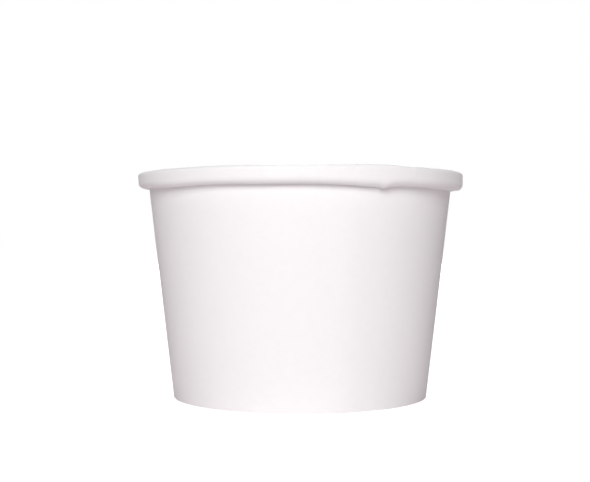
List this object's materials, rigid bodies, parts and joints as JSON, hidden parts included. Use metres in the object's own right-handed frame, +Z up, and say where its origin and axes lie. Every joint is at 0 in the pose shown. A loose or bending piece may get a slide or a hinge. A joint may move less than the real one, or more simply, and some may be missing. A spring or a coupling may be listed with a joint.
{
  "type": "paper sundae cup",
  "caption": "Small tapered white paper cup with a rolled rim, a lapped side seam and a recessed bottom, for ice cream and desserts.",
  "frame": {"origin": "on the table under the cup's axis, at the centre of its standing ring", "axes": "+Z up along the cup's axis, out of its mouth; -Y is the front, with the side seam 28 degrees to its right (+X)"},
  "size_m": [0.075, 0.075, 0.0513],
  "materials": {
    "wall_paper": "satin",
    "bottom_paper": "satin"
  },
  "bodies": {
    "root": {"side_wall": "wall_paper", "bottom_disc": "bottom_paper"}
  },
  "joints": []
}
